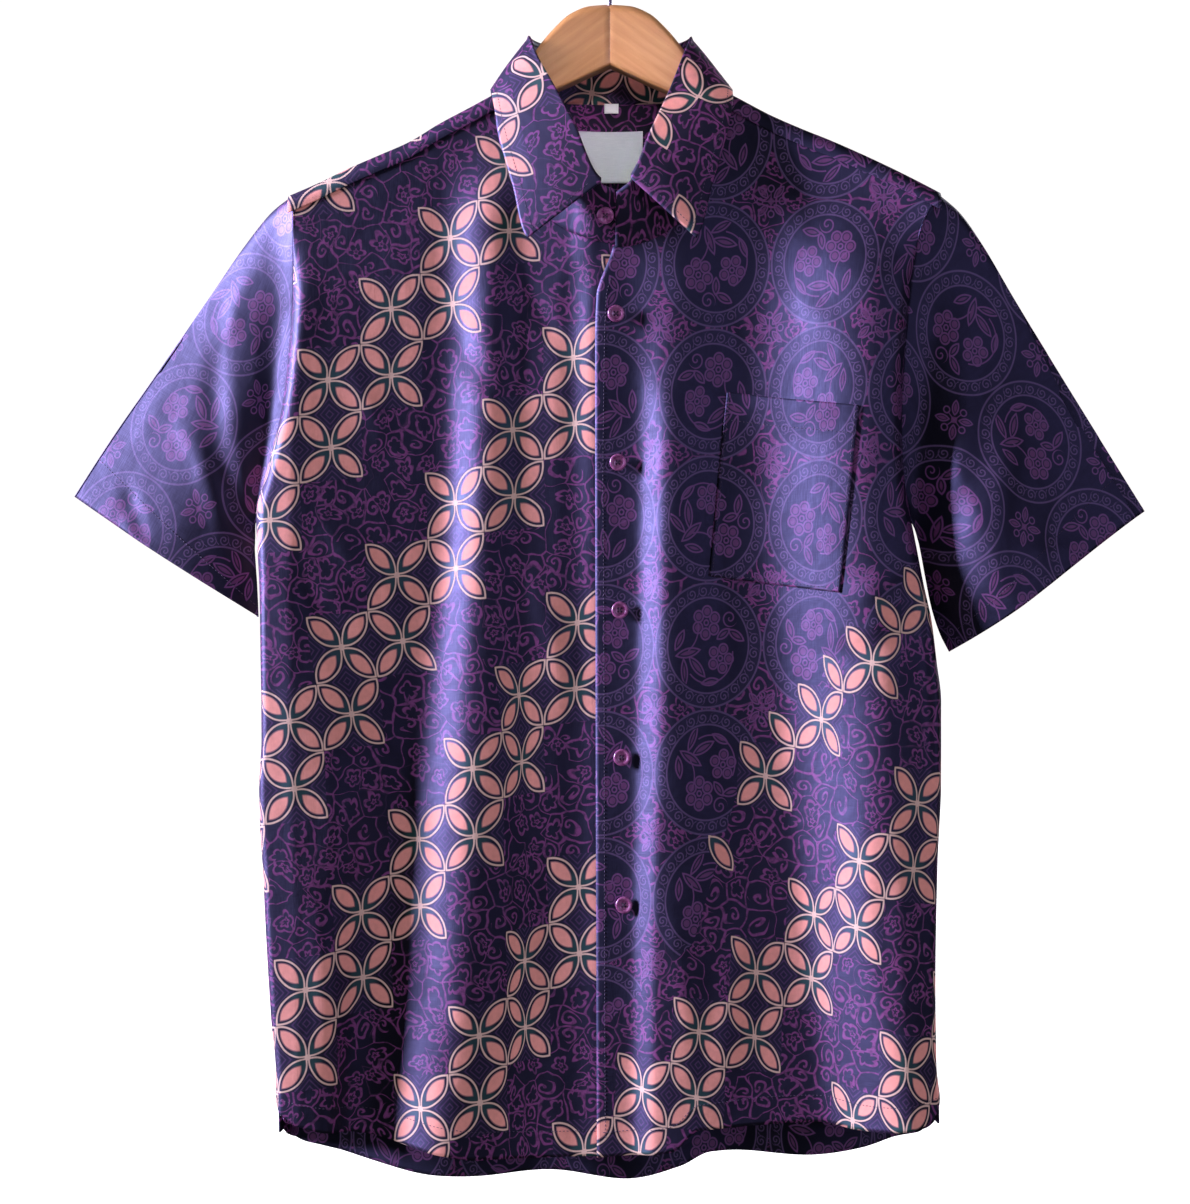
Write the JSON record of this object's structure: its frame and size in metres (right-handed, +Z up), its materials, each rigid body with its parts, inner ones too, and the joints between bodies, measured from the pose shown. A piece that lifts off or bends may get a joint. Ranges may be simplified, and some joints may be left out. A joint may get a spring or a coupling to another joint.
{
  "type": "batik shirt on a wooden hanger",
  "caption": "Short-sleeved buttoned shirt with a turn-down collar and a chest pocket, hanging empty and flat on a contoured wooden hanger.",
  "frame": {"origin": "the inside top of the hanger's hook, where it bears on a rail", "axes": "+Z up, +X to the wearer's left, -Y the front of the shirt"},
  "size_m": [0.7343, 0.1055, 0.8724],
  "materials": {
    "batik_cloth": "smooth printed cotton with a faint sheen",
    "button_resin": "polished polyester resin",
    "woven_label": "matt woven tape, bare",
    "varnished_wood": "satin varnish",
    "hook_steel": "bright drawn wire"
  },
  "bodies": {
    "root": {"front_right": "batik_cloth", "front_left": "batik_cloth", "back": "batik_cloth", "yoke": "batik_cloth", "sleeve_right": "batik_cloth", "sleeve_left": "batik_cloth", "collar_stand": "batik_cloth", "collar_leaf": "batik_cloth", "chest_pocket": "batik_cloth", "button_1": "button_resin", "button_2": "button_resin", "button_3": "button_resin", "button_4": "button_resin", "button_5": "button_resin", "button_6": "button_resin", "neck_label": "woven_label", "size_tab": "woven_label", "hanger_wood": "varnished_wood", "hanger_hook": "hook_steel"}
  },
  "joints": []
}
